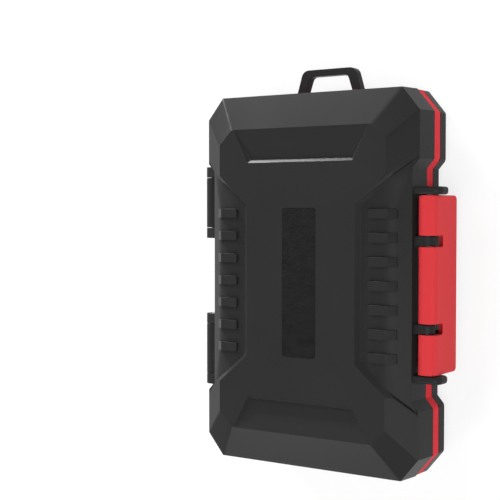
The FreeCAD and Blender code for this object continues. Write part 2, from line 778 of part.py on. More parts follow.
def cut_cf_well(body):
    half = "(cf_length / 2 + card_gap)"
    low = f"(-({HALF_LENGTH} - cf_margin))"
    high = f"({low} + cf_width + 2 * card_gap)"
    well(body, "cf_well", minus(half), half, low, high, "cf_depth", PARTING)
    teeth = []
    for step in range(int(size("comb_count"))):
        start = f"({step} - (comb_count - 1) / 2) * comb_pitch - comb_tooth / 2"
        teeth.append(rectangle(start, f"{start} + comb_tooth", f"{low} - comb_depth", f"{low} + comb_depth"))
    pocket(body, "cf_comb", "XY_Plane", teeth, "comb_drop", PARTING)
    middle = f"(({low} + {high}) / 2)"
    well(body, "cf_finger", f"-({half} + finger_run)", minus(half), f"{middle} - finger_length / 2",
         f"{middle} + finger_length / 2", "finger_drop", PARTING)
    place = f"({high} + slit_place)"
    well(body, "base_slit", "-slit_length / 2", "slit_length / 2", f"{place} - slit_width / 2",
         f"{place} + slit_width / 2", "slit_drop", PARTING)


def cut_sd_wells(body):
    high = f"({HALF_LENGTH} - sd_margin)"
    low = f"({high} - sd_length - 2 * card_gap)"
    wide = "(sd_width + 2 * card_gap)"
    back_high = "(sd_rib_place - sd_rib / 2)"
    back_low = f"({back_high} - {wide})"
    front_low = "(sd_rib_place + sd_rib / 2)"
    well(body, "sd_back_well", back_low, back_high, low, high, "sd_depth", PARTING)
    well(body, "sd_front_well", front_low, f"{front_low} + {wide}", low, high, "sd_depth", PARTING)
    middle = f"(({low} + {high}) / 2)"
    well(body, "sd_finger", f"{back_low} - finger_run", back_low, f"{middle} - finger_length / 2",
         f"{middle} + finger_length / 2", "finger_drop", PARTING)
    for name, start in (("back", back_low), ("front", front_low)):
        steps = []
        for step in range(int(size("stair_count"))):
            left = f"({start} + {step} * stair_run)"
            depth = f"(stair_count - {step}) * stair_rise / stair_count"
            steps.append(rectangle(left, f"{left} + stair_run", f"{low} - {depth}", low))
        for index, outline in enumerate(steps):
            pocket(body, f"sd_{name}_stair_{index}", "XY_Plane", [outline], "stair_drop", PARTING)


def make_lid_liner():
    body = new_body("lid_liner")
    gap_inset = "shell_wall + liner_gap"
    height = f"{LID_LEDGE} - liner_gap - {LID_FLOOR}"
    pad(body, "liner_rim", "XY_Plane", [waisted(gap_inset)], height, LID_FLOOR)
    deep = octagon(
        f"({HALF_WIDTH} - lid_step_inset_x - liner_gap)", f"({HALF_LENGTH} - lid_step_inset_y - liner_gap)",
        "corner_x", "corner_y",
    )
    pad(body, "liner_block", "XY_Plane", [deep], f"{ROOF} - {LID_LEDGE}", f"{LID_LEDGE} - liner_gap")
    edge = WAIST
    tip = f"({WAIST} - shell_wall - tab_depth - liner_gap)"
    right = rectangle(tip, edge, "-(tab_length / 2 + liner_gap)", "tab_length / 2 + liner_gap")
    left = [(minus(x), y) for x, y in right]
    height = "tab_height + liner_gap"
    pocket(body, "tab_notches", "XY_Plane", [right, left], height, LID_FLOOR, backwards=True)
    cut_big_wells(body)
    cut_small_wells(body)
    return body


def cut_big_wells(body):
    latch_side = f"({WAIST} - lid_well_margin)"
    xqd_low = f"(-({HALF_LENGTH} - lid_end_margin))"
    xqd_high = f"({xqd_low} + xqd_width + 2 * card_gap)"
    xqd_back = f"({latch_side} - xqd_length - 2 * card_gap)"
    well(body, "xqd_well", xqd_back, latch_side, xqd_low, xqd_high, "xqd_depth", LID_FLOOR, True)
    teeth = []
    middle = f"(({xqd_back} + {latch_side}) / 2)"
    for step in range(int(size("comb_count"))):
        start = f"{middle} + ({step} - (comb_count - 1) / 2) * comb_pitch - comb_tooth / 2"
        for wall in (xqd_low, xqd_high):
            end = f"{start} + comb_tooth"
            teeth.append(rectangle(start, end, f"{wall} - comb_depth", f"{wall} + comb_depth"))
    pocket(body, "xqd_comb", "XY_Plane", teeth, "comb_drop", LID_FLOOR, backwards=True)
    sd_high = f"({HALF_LENGTH} - lid_end_margin)"
    sd_low = f"({sd_high} - sd_length - 2 * card_gap)"
    sd_back = f"({latch_side} - sd_width - 2 * card_gap)"
    well(body, "lid_sd_well", sd_back, latch_side, sd_low, sd_high, "lid_sd_depth", LID_FLOOR, True)
    for step in range(int(size("stair_count"))):
        left = f"({sd_back} + {step} * stair_run)"
        depth = f"(stair_count - {step}) * stair_rise"
        outline = rectangle(left, f"{left} + stair_run", f"{sd_low} - {depth}", sd_low)
        pocket(body, f"lid_stair_{step}", "XY_Plane", [outline], "stair_drop", LID_FLOOR, backwards=True)
    place = f"({xqd_high} + slit_place)"
    well(body, "lid_slit", "-slit_length / 2", "slit_length / 2", f"{place} - slit_width / 2",
         f"{place} + slit_width / 2", "slit_drop", LID_FLOOR, True)


def cut_small_wells(body):
    latch_side = f"({WAIST} - lid_well_margin)"
    hinge_side = f"(-({WAIST} - lid_well_margin))"
    start = f"(-({HALF_LENGTH} - lid_end_margin))"
    inner = f"({hinge_side} + micro_length + 2 * card_gap)"
    first = f"({start} + micro_finger)"
    wide = "(micro_width + 2 * card_gap)"
    second = f"({first} + {wide} + micro_rib)"
    well(body, "micro_finger_well", hinge_side, inner, start, first, "micro_depth", LID_FLOOR, True)
    well(body, "micro_well_one", hinge_side, inner, first, f"{first} + {wide}", "micro_depth",
         LID_FLOOR, True)
    well(body, "micro_well_two", hinge_side, inner, second, f"{second} + {wide}", "micro_depth",
         LID_FLOOR, True)
    sd_back = f"({latch_side} - sd_width - 2 * card_gap)"
    sim_low_x = f"({sd_back} - sim_show)"
    sim_high = f"({HALF_LENGTH} - lid_end_margin - sim_inset)"
    sim_low = f"({sim_high} - sim_length - 2 * card_gap)"
    well(body, "sim_well", sim_low_x, f"{sim_low_x} + sim_width + 2 * card_gap", sim_low, sim_high,
         "sim_depth", LID_FLOOR, True)
    small_low_x = f"(-({HALF_WIDTH} - small_sim_margin))"
    small_high_x = f"({small_low_x} + small_sim_length + 2 * card_gap)"
    small_wide = "(small_sim_width + 2 * card_gap)"
    right = f"({HALF_LENGTH} - small_sim_end)"
    for name, high in (("right", right), ("left", f"({right} - {small_wide} - small_sim_rib)")):
        well(body, f"small_sim_{name}", small_low_x, small_high_x, f"{high} - {small_wide}", high,
             "sim_depth", LID_FLOOR, True)


def make_pin(name, x, z, radius, length, place):
    body = new_body(name)
    pad(body, name + "_form", "XZ_Plane", [(x, z, radius)], length, f"-({place})", both_ways=True)
    return body


def make_label_plate():
    body = new_body("label_plate")
    outline = rectangle(
        "-label_width / 2", "label_width / 2",
        "-(label_length / 2 + face_shift)", "label_length / 2 - face_shift",
    )
    pad(body, "label_form", "XY_Plane", [outline], "label_depth", f"{FACE} - label_depth")
    dress(body, "label_round", "Fillet", "label_corner", lambda edge: along(edge, 2))
    return body


LATCH_PIN_LENGTH = "latch_length + 2 * latch_gap + 2 * ear_width"
HINGE_PIN_LENGTH = "barrel_length + 2 * knuckle_gap + 2 * knuckle_length"
parts = [
    make_base_shell(),
    make_lid_shell(),
    make_base_liner(),
    make_lid_liner(),
    make_latch(),
    make_pin("latch_pin", PIVOT_X, PIVOT_Z, "latch_pin_radius", LATCH_PIN_LENGTH, "0"),
    make_pin("hinge_pin_loop_end", HINGE_X, PARTING, "hinge_pin_radius", HINGE_PIN_LENGTH, "hinge_offset"),
    make_pin("hinge_pin_far_end", HINGE_X, PARTING, "hinge_pin_radius", HINGE_PIN_LENGTH, "-hinge_offset"),
    make_label_plate(),
]

doc.recompute()
for item in doc.Objects:
    if "Invalid" in item.State or "Error" in item.State:
        raise RuntimeError(f"{item.Name} failed: {item.State}")
for cut in cuts:
    if cut.Shape.Volume >= cut.BaseFeature.Shape.Volume:
        raise RuntimeError(f"{cut.Name} cuts nothing")
for part in parts:
    if part.Shape.isNull() or not part.Shape.isValid():
        raise RuntimeError(f"{part.Label} has no valid shape")

os.makedirs("parts", exist_ok=True)
for part in parts:
    part.Shape.exportStep(f"parts/{part.Label}.step")
    print(part.Label, len(part.Shape.Solids), "solid", round(part.Shape.Volume, 1), "mm3")
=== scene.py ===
"""Looks of a memory card case: moulded shells, red liners and latch, pins and a grained plate."""

from math import pi, radians, sin

import bmesh
import bpy
from mathutils import Euler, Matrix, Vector
from mathutils.bvhtree import BVHTree
from mathutils.geometry import intersect_line_line_2d


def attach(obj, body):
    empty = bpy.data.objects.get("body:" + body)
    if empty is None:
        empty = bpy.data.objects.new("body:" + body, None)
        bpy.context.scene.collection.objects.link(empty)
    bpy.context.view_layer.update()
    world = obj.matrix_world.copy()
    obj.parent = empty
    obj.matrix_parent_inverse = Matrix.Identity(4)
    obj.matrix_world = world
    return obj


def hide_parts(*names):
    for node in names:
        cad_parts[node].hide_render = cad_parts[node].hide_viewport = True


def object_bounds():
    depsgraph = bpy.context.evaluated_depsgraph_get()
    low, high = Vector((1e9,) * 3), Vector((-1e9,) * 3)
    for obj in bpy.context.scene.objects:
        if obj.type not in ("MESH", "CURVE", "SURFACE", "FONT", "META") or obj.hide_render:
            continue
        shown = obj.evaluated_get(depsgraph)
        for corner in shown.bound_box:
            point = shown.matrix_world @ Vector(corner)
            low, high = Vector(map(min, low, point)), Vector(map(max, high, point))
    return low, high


bl_info = {
    "name": "Memory Card Case",
    "version": (1, 0, 0),
    "blender": (4, 5, 0),
    "location": "View3D > Sidebar > Card Case",
    "description": "Builds the looks of a hinged memory card case on its packed frame",
    "category": "Object",
}

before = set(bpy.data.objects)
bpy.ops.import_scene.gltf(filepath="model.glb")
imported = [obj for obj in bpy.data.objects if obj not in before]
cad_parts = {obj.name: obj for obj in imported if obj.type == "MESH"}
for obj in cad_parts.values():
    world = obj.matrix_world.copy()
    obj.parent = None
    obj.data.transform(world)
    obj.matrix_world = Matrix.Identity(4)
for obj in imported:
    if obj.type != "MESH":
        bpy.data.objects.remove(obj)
CAD_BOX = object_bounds()

# Merging of the CAD meshes' loose triangles into whole faces
MERGE_DISTANCE = 0.000002
FLAT_ANGLE = radians(0.6)

# Sharp edges, the runs that they form and the share of their faces that a rounding may take
SHARP_ANGLE = radians(35)
CHAIN_TURN = radians(35)
ROOM_SHARE = 0.42
SHELL_ROOM_SHARE = 0.1
HOLE_SPAN = 0.0035
ROUNDING_STEPS = 3
LEAST_ROUNDING = 0.00002

# Creases that stay sharp because the faces beside them have this room, and the weight of flat faces
CREASE_ANGLE = radians(9)
CREASE_ROOM = 0.0004
FLAT_FACE_WEIGHT = 80

# Rounding that strays from the CAD surface or the CAD box, and the rounds that narrow it
STRAY_SHARE = 0.6
WIDE_STRAY_SHARE = 0.36
BOX_SLACK = 0.000001
QUAD_CORNERS = 4
EASE_ROUNDS = 9
NARROWING_ROUNDS = 5
EASE_SHARE = 0.6
EASE_REACH = 0.0009

# Moulding grain that all finishes share, made of two noises whose means add up to one
GRAIN_DETAIL = 3.0
CLOUD_DETAIL = 2.0
NOISE_MEANS = 1.0
GRAIN_DEFAULTS = {
    "Grain Scale": 2600.0,
    "Cloud Scale": 60.0,
    "Mottle": 0.12,
    "Roughness": 0.5,
    "Spread": 0.1,
}

# Floor, and the part of it under the case that is not whitened
WHITE = (1.0, 1.0, 1.0, 1.0)
FLOOR_COLOUR = (0.97, 0.97, 0.97, 1.0)
FLOOR_HALF = 2.0
FLOOR_GAP = 0.0003
WHITE_SHARE = 0.8
COVERED_HALVES = (0.02855, 0.021)
COVERED_FADES = (0.0002, 0.003)

# Places and sizes of the lamps, all turned to one point in the case
LAMP_AIM = Vector((0.0, 0.0, 0.015))
LEFT_LAMP_PLACE = (-0.631, 0.406, 0.271)
LEFT_LAMP_SPREAD = (0.1, 0.1)
LOOP_LAMP_PLACE = (-0.175, 0.465, 0.64)
LOOP_LAMP_SPREAD = (0.22, 0.22)
STRIP_LAMP_PLACE = (-0.41, 0.585, 0.088)
STRIP_LAMP_SPREAD = (0.18, 0.07)
FILL_LAMP_PLACE = (0.42, -0.24, 0.78)
FILL_LAMP_SPREAD = (0.5, 0.7)
FRONT_LAMP_PLACE = (-0.42, -0.63, 0.44)
FRONT_LAMP_SPREAD = (0.3, 0.3)

# Camera
SENSOR_WIDTH = 36.0
NEAREST_SEEN = 0.01


class CaseFinish(bpy.types.PropertyGroup):
    """Colours and edge sizes of the case's pieces"""

    shell_colour: bpy.props.FloatVectorProperty(
        name="Shell Colour", description="Black plastic of the lid and the base",
        subtype="COLOR", size=3, min=0.0, max=1.0, default=(0.0232, 0.0232, 0.0237),
    )
    liner_colour: bpy.props.FloatVectorProperty(
        name="Liner Colour", description="Red rubber of the liners and the band",
        subtype="COLOR", size=3, min=0.0, max=1.0, default=(0.63, 0.035, 0.046),
    )
    latch_colour: bpy.props.FloatVectorProperty(
        name="Latch Colour", description="Red plastic of the latch",
        subtype="COLOR", size=3, min=0.0, max=1.0, default=(0.615, 0.042, 0.048),
    )
    label_colour: bpy.props.FloatVectorProperty(
        name="Label Colour", description="Grained plate in the lid's face",
        subtype="COLOR", size=3, min=0.0, max=1.0, default=(0.0065, 0.0065, 0.0065),
    )
    pin_colour: bpy.props.FloatVectorProperty(
        name="Pin Colour", description="Steel of the hinge and latch pins",
        subtype="COLOR", size=3, min=0.0, max=1.0, default=(0.42, 0.42, 0.43),
    )
    shell_edge: bpy.props.FloatProperty(
        name="Shell Edge", description="Rounding of the shells' moulded edges",
        unit="LENGTH", min=0.0, default=0.00028, precision=5,
    )
    ear_place: bpy.props.FloatProperty(
        name="Ear Place", description="Distance across the lid beyond which only its latch ears stand",
        unit="LENGTH", min=0.0, default=0.0345, precision=5,
    )
    ear_edge: bpy.props.FloatProperty(
        name="Ear Edge", description="Rounding of the outer ends of the latch ears",
        unit="LENGTH", min=0.0, default=0.0007, precision=5,
    )
    liner_edge: bpy.props.FloatProperty(
        name="Liner Edge", description="Rounding of the liners' edges",
        unit="LENGTH", min=0.0, default=0.0002, precision=5,
    )
    latch_edge: bpy.props.FloatProperty(
        name="Latch Edge", description="Rounding of the latch's edges",
        unit="LENGTH", min=0.0, default=0.00045, precision=5,
    )


class CaseStage(bpy.types.PropertyGroup):
    """Camera, lamps and light of the room around the case"""

    camera_place: bpy.props.FloatVectorProperty(
        name="Camera Place", description="Where the camera stands",
        subtype="TRANSLATION", unit="LENGTH", size=3, default=(0.16779, 0.01864, 0.2822),
    )
    camera_tilt: bpy.props.FloatVectorProperty(
        name="Camera Tilt", description="Turn from the camera's axes back to the case's axes",
        subtype="EULER", size=3, default=(0.041, -0.616, -0.024),
    )
    focal_length: bpy.props.FloatProperty(
        name="Focal Length", description="Lens of the camera on a 36 mm sensor",
        unit="CAMERA", min=1.0, default=85.219,
    )
    left_lamp: bpy.props.FloatProperty(
        name="Left Lamp", description="Power of the small low lamp beyond the hinges",
        unit="POWER", min=0.0, default=2.2,
    )
    loop_lamp: bpy.props.FloatProperty(
        name="Loop Lamp", description="Power of the soft lamp high beyond the loop",
        unit="POWER", min=0.0, default=1.6,
    )
    strip_lamp: bpy.props.FloatProperty(
        name="Strip Lamp", description="Power of the low strip lamp beyond the loop",
        unit="POWER", min=0.0, default=9.0,
    )
    fill_lamp: bpy.props.FloatProperty(
        name="Fill Lamp", description="Power of the large lamp high on the latch's side",
        unit="POWER", min=0.0, default=6.3,
    )
    front_lamp: bpy.props.FloatProperty(
        name="Front Lamp", description="Power of the soft lamp beyond the end without the loop",
        unit="POWER", min=0.0, default=3.0,
    )
    horizon_light: bpy.props.FloatProperty(
        name="Horizon Light", description="Strength of the room's light near the floor",
        min=0.0, default=0.35,
    )
    zenith_light: bpy.props.FloatProperty(
        name="Zenith Light", description="Strength of the room's light overhead",
        min=0.0, default=0.13,
    )


def new_node(tree, kind, place, **settings):
    """Node of a kind at a place of the tree's layout."""
    node = tree.nodes.new(kind)
    node.location = place
    for name, value in settings.items():
        setattr(node, name, value)
    return node


def link(tree, source, target, entry):
    """Join one node's output to an entry of another node."""
    tree.links.new(source, target.inputs[entry])


def math_node(tree, operation, place, *sources):
    """Output of a Math node whose entries are other nodes' outputs or plain numbers."""
    node = new_node(tree, "ShaderNodeMath", place, operation=operation)
    for entry, source in zip(node.inputs, sources):
        if isinstance(source, bpy.types.NodeSocket):
            tree.links.new(source, entry)
        else:
            entry.default_value = source
    return node.outputs["Value"]


def noise_node(tree, place, spot, scale, detail):
    """Output of a noise texture at a spot of the surface."""
    node = new_node(tree, "ShaderNodeTexNoise", place)
    node.inputs["Detail"].default_value = detail
    link(tree, spot, node, "Vector")
    link(tree, scale, node, "Scale")
    return node.outputs["Fac"]


def moulded_grain_group():
    """Fine moulding grain: mottled colour, roughness and a height for a bump."""
    found = bpy.data.node_groups.get("Moulded Grain")
    if found:
        return found
    group = bpy.data.node_groups.new("Moulded Grain", "ShaderNodeTree")
    face = group.interface
    face.new_socket("Colour", in_out="INPUT", socket_type="NodeSocketColor")
    for name, value in GRAIN_DEFAULTS.items():
        entry = face.new_socket(name, in_out="INPUT", socket_type="NodeSocketFloat")
        entry.default_value = value
    face.new_socket("Colour", in_out="OUTPUT", socket_type="NodeSocketColor")
    face.new_socket("Roughness", in_out="OUTPUT", socket_type="NodeSocketFloat")
    face.new_socket("Height", in_out="OUTPUT", socket_type="NodeSocketFloat")
    given = new_node(group, "NodeGroupInput", (-900, 0)).outputs
    leave = new_node(group, "NodeGroupOutput", (700, 0))
    spot = new_node(group, "ShaderNodeTexCoord", (-900, 300)).outputs["Object"]
    grain = noise_node(group, (-600, 300), spot, given["Grain Scale"], GRAIN_DETAIL)
    cloud = noise_node(group, (-600, 0), spot, given["Cloud Scale"], CLOUD_DETAIL)
    both = math_node(group, "ADD", (-350, 150), grain, cloud)
    centred = math_node(group, "SUBTRACT", (-180, 150), both, NOISE_MEANS)
    strength = math_node(group, "MULTIPLY", (0, 250), centred, given["Mottle"])
    factor = math_node(group, "ADD", (170, 250), strength, 1.0)
    tinted = new_node(group, "ShaderNodeVectorMath", (350, 250), operation="SCALE")
    link(group, given["Colour"], tinted, "Vector")
    link(group, factor, tinted, "Scale")
    link(group, tinted.outputs["Vector"], leave, "Colour")
    swing = math_node(group, "MULTIPLY", (0, 0), centred, given["Spread"])
    rough = math_node(group, "ADD", (170, 0), swing, given["Roughness"])
    link(group, rough, leave, "Roughness")
    link(group, grain, leave, "Height")
    return group


def moulded_material(name, colour, grain, relief, depth, shine=0.5, metallic=0.0):
    """Material whose colour, roughness and bump come from the moulding grain."""
    material = bpy.data.materials.new(name)
    material.use_nodes = True
    material.diffuse_color = (*colour, 1.0)
    tree = material.node_tree
    shader = tree.nodes["Principled BSDF"]
    shader.inputs["Metallic"].default_value = metallic
    shader.inputs["Specular IOR Level"].default_value = shine
    effect = new_node(tree, "ShaderNodeGroup", (-600, 200), node_tree=moulded_grain_group())
    effect.inputs["Colour"].default_value = (*colour, 1.0)
    for entry, value in grain.items():
        effect.inputs[entry].default_value = value
    bump = new_node(tree, "ShaderNodeBump", (-300, -100))
    bump.inputs["Strength"].default_value = relief
    bump.inputs["Distance"].default_value = depth
    link(tree, effect.outputs["Colour"], shader, "Base Color")
    link(tree, effect.outputs["Roughness"], shader, "Roughness")
    link(tree, effect.outputs["Height"], bump, "Height")
    link(tree, bump.outputs["Normal"], shader, "Normal")
    return material


def shell_plastic(colour):
    """Black plastic with a fine satin grain."""
    grain = {
        "Grain Scale": 3200.0,
        "Cloud Scale": 45.0,
        "Mottle": 0.16,
        "Roughness": 0.3,
        "Spread": 0.1,
    }
    return moulded_material(
        "Black moulded plastic", colour, grain, relief=0.08, depth=0.0001, shine=0.045,
    )


def liner_rubber(colour):
    """Red rubber with a coarser, dull grain."""
    grain = {
        "Grain Scale": 1900.0,
        "Cloud Scale": 70.0,
        "Mottle": 0.06,
        "Roughness": 0.62,
        "Spread": 0.12,
    }
    return moulded_material(
        "Red liner rubber", colour, grain, relief=0.12, depth=0.0001, shine=0.05,
    )


def latch_plastic(colour):
    """Red plastic, a little smoother than the liners."""
    grain = {
        "Grain Scale": 2800.0,
        "Cloud Scale": 50.0,
        "Mottle": 0.05,
        "Roughness": 0.42,
        "Spread": 0.12,
    }
    return moulded_material(
        "Red latch plastic", colour, grain, relief=0.1, depth=0.0001, shine=0.03,
    )


def pin_steel(colour):
    """Dull steel with fine uneven wear."""
    grain = {
        "Grain Scale": 5200.0,
        "Cloud Scale": 240.0,
        "Mottle": 0.2,
        "Roughness": 0.36,
        "Spread": 0.25,
    }
    return moulded_material(
        "Dull pin steel", colour, grain, relief=0.15, depth=0.00005, metallic=1.0,
    )


def label_grain(colour):
    """Near black plate with a strong, coarse grain."""
    grain = {
        "Grain Scale": 1500.0,
        "Cloud Scale": 300.0,
        "Mottle": 0.9,
        "Roughness": 0.6,
        "Spread": 0.3,
    }
    return moulded_material(
        "Grained label plate", colour, grain, relief=0.7, depth=0.00025, shine=0.12,
    )


def room_beside(edge, wish, share=ROOM_SHARE):
    """Widest rounding, up to a wish, that the faces on both sides of an edge have room for."""
    start, finish = (vert.co for vert in edge.verts)
    run = finish - start
    length = run.length
    room = wish
    for loop in edge.link_loops:
        for neighbour in (loop.link_loop_next.edge, loop.link_loop_prev.edge):
            other = neighbour.verts[1].co - neighbour.verts[0].co
            turn = run.angle(other, 0.0)
            turn = min(turn, pi - turn)
            if turn > CHAIN_TURN:
                room = min(room, share * other.length * sin(turn))
        for vert in loop.face.verts:
            if vert in edge.verts:
                continue
            along = (vert.co - start).dot(run) / (length * length)
            if 0.0 < along < 1.0:
                room = min(room, share * (vert.co - start - run * along).length)
    return room


def runs_on(edge, other, vert):
    """Whether one edge carries on into another at a vertex without a corner between them."""
    back = edge.other_vert(vert).co - vert.co
    onward = other.other_vert(vert).co - vert.co
    return pi - back.angle(onward, 0.0) < CHAIN_TURN and edge.is_convex == other.is_convex


def sharp_chains(work):
    """Sharp edges of a mesh in runs that carry on from edge to edge."""
    waiting = {
        item for item in work.edges
        if item.is_manifold and item.calc_face_angle() > SHARP_ANGLE
    }
    chains = []
    for first in work.edges:
        if first not in waiting:
            continue
        waiting.remove(first)
        chain = [first]
        for item in chain:
            for vert in item.verts:
                for other in vert.link_edges:
                    if other in waiting and runs_on(item, other, vert):
                        waiting.remove(other)
                        chain.append(other)
        chains.append(chain)
    return chains


def is_hole(chain):
    """Whether a run of edges is the closed rim of a small bore."""
    corners = {vert for item in chain for vert in item.verts}
    if len(corners) != len(chain):
        return False
    for axis in range(3):
        places = [vert.co[axis] for vert in corners]
        if max(places) - min(places) >= HOLE_SPAN:
            return False
    return True


def crossing_corners(face):
    """Corners of a face where its outline crosses itself."""
    count = len(face.verts)
    turn = face.normal.to_track_quat("Z", "Y").inverted()
    flat = [(turn @ vert.co).to_2d() for vert in face.verts]
    found = []
    for first in range(count - 2):
        for second in range(first + 2, count - (first == 0)):
            after = (second + 1) % count
            if intersect_line_line_2d(flat[first], flat[first + 1], flat[second], flat[after]):
                found += [face.verts[index] for index in (first, first + 1, second, after)]
    return found


def outside_box(place):
    """Whether a place lies past the CAD box by more than rounding errors."""
    for axis, (low, high) in enumerate(zip(*CAD_BOX)):
        if place[axis] < low - BOX_SLACK or place[axis] > high + BOX_SLACK:
            return True
    return False


def stray_roots(piece, surface, limit):
    """Places where a piece's rounding leaves the CAD box, or strays from the CAD surface."""
    seen = piece.evaluated_get(bpy.context.evaluated_depsgraph_get())
    work = bmesh.new()
    work.from_mesh(seen.data)
    away = {
        vert for vert in work.verts
        if surface.find_nearest(vert.co)[3] > limit or outside_box(vert.co)
    }
    for face in work.faces:
        if len(face.verts) > QUAD_CORNERS:
            away.update(crossing_corners(face))
    roots = [surface.find_nearest(vert.co)[0] for vert in away]
    for vert in away:
        others = [item.other_vert(vert) for item in vert.link_edges]
        roots += [other.co.copy() for other in others if other not in away]
    work.free()
    return roots


def ease_strays(piece, surface, limit):
    """Narrow the rounding of whole runs of edges until it stays on the CAD surface."""
    mesh = piece.data
    for step in range(EASE_ROUNDS):
        roots = stray_roots(piece, surface, limit)
        if not roots:
            return
        share = EASE_SHARE if step < NARROWING_ROUNDS else 0.0
        weights = mesh.attributes["bevel_weight_edge"].data
        chains = mesh.attributes["chain"].data
        eased = set()
        for item in mesh.edges:
            ends = [mesh.vertices[index].co for index in item.vertices]
            if any((end - root).length < EASE_REACH for end in ends for root in roots):
                eased.add(chains[item.index].value)
        for item in mesh.edges:
            if chains[item.index].value in eased:
                weights[item.index].value *= share
        mesh.update()
    if stray_roots(piece, surface, limit):
        raise RuntimeError(piece.name + " still strays from its CAD surface")


def keep_sharp(mesh, width):
    """Mark the edges left with next to no rounding, so that no shading runs over them."""
    weights = mesh.attributes["bevel_weight_edge"].data
    chains = mesh.attributes["chain"].data
    for item in mesh.edges:
        if chains[item.index].value and weights[item.index].value * width < LEAST_ROUNDING:
            item.use_edge_sharp = True


def merged_faces(node):
    """Copy of a CAD node's mesh with its loose triangles merged into whole faces."""
    work = bmesh.new()
    work.from_mesh(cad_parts[node].data)
    bmesh.ops.remove_doubles(work, verts=work.verts, dist=MERGE_DISTANCE)
    bmesh.ops.dissolve_limit(
        work, angle_limit=FLAT_ANGLE, use_dissolve_boundaries=False,
        verts=work.verts, edges=work.edges, delimit=set(),
    )
    return work


def mark_edges(work, edge, width, share, ends):
    """Give each run of sharp edges its rounding, as a share of the width, and mark creases."""
    weight = work.edges.layers.float.new("bevel_weight_edge")
    mark = work.edges.layers.int.new("chain")
    for number, chain in enumerate(sharp_chains(work), 1):
        beyond = ends and any(vert.co.x > ends[0] for item in chain for vert in item.verts)
        wish, part = (width, ROOM_SHARE) if beyond else (edge, share)
        room = 0.0 if is_hole(chain) else min(room_beside(item, wish, part) for item in chain)
        for item in chain:
            item[weight] = room / width
            item[mark] = number
    for item in work.edges:
        if item[mark] == 0 and item.is_manifold and item.calc_face_angle() > CREASE_ANGLE:
            item.smooth = room_beside(item, CREASE_ROOM) < CREASE_ROOM


def softened_copy(node, edge, body, material, share=ROOM_SHARE, ends=None):
    """Copy of a CAD node with its sharp edges rounded where they have room, in place of that node.

    Ends is an x place and a wider rounding for the edges that lie beyond it.
    """
    work = merged_faces(node)
    surface = BVHTree.FromBMesh(work)
    width = max(edge, ends[1]) if ends else edge
    mark_edges(work, edge, width, share, ends)
    mesh = bpy.data.meshes.new(node + "_finish")
    work.to_mesh(mesh)
    work.free()
    mesh.shade_smooth()
    mesh.materials.append(material)
    piece = bpy.data.objects.new(node + "_finish", mesh)
    bpy.context.scene.collection.objects.link(piece)
    rounding = piece.modifiers.new("Rounded edges", "BEVEL")
    rounding.limit_method = "WEIGHT"
    rounding.width = width
    rounding.segments = ROUNDING_STEPS
    rounding.use_clamp_overlap = False
    rounding.offset_type = "OFFSET"
    ease_strays(piece, surface, max(edge * STRAY_SHARE, width * WIDE_STRAY_SHARE))
    keep_sharp(mesh, width)
    shading = piece.modifiers.new("Flat faces", "WEIGHTED_NORMAL")
    shading.weight = FLAT_FACE_WEIGHT
    shading.keep_sharp = True
    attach(piece, body)
    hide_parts(node)


def dress_node(node, material):
    """Give a CAD node a finished material in all of its slots."""
    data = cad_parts[node].data
    data.materials.clear()
    data.materials.append(material)


def uncovered_floor(tree):
    """Mask that is none under the case, from its hinges to its latch, and full elsewhere."""
    spot = new_node(tree, "ShaderNodeTexCoord", (-1300, -500)).outputs["Object"]
    parts = new_node(tree, "ShaderNodeSeparateXYZ", (-1100, -500))
    link(tree, spot, parts, "Vector")
    rises = []
    for axis, half, fade in zip("XY", COVERED_HALVES, COVERED_FADES):
        row = -500 - 200 * len(rises)
        rise = new_node(tree, "ShaderNodeMapRange", (-700, row))
        rise.inputs["From Min"].default_value = half
        rise.inputs["From Max"].default_value = half + fade
        away = math_node(tree, "ABSOLUTE", (-900, row), parts.outputs[axis])
        link(tree, away, rise, "Value")
        rises.append(rise.outputs["Result"])
    return math_node(tree, "MAXIMUM", (-300, -500), *rises)


def whiten_for_view(tree, shader):
    """Show most of the floor as plain white with a faint shadow, and nothing of it from below."""
    rays = new_node(tree, "ShaderNodeLightPath", (-700, -200)).outputs
    seen = math_node(tree, "MAXIMUM", (-450, -150), rays["Is Camera Ray"], rays["Is Glossy Ray"])
    shown = math_node(tree, "MAXIMUM", (-250, -150), rays["Is Transmission Ray"], seen)
    share = math_node(tree, "MULTIPLY", (-50, -150), shown, WHITE_SHARE)
    lit = math_node(tree, "MULTIPLY", (150, -150), share, uncovered_floor(tree))
    white = new_node(tree, "ShaderNodeEmission", (0, -350))
    white.inputs["Color"].default_value = WHITE
    blend = new_node(tree, "ShaderNodeMixShader", (350, 0))
    link(tree, lit, blend, "Fac")
    link(tree, shader.outputs["BSDF"], blend, 1)
    link(tree, white.outputs["Emission"], blend, 2)
    below = new_node(tree, "ShaderNodeNewGeometry", (350, 300))
    clear = new_node(tree, "ShaderNodeBsdfTransparent", (350, -200))
    sides = new_node(tree, "ShaderNodeMixShader", (550, 0))
    link(tree, below.outputs["Backfacing"], sides, "Fac")
    link(tree, blend.outputs["Shader"], sides, 1)
    link(tree, clear.outputs["BSDF"], sides, 2)
    link(tree, sides.outputs["Shader"], tree.nodes["Material Output"], "Surface")


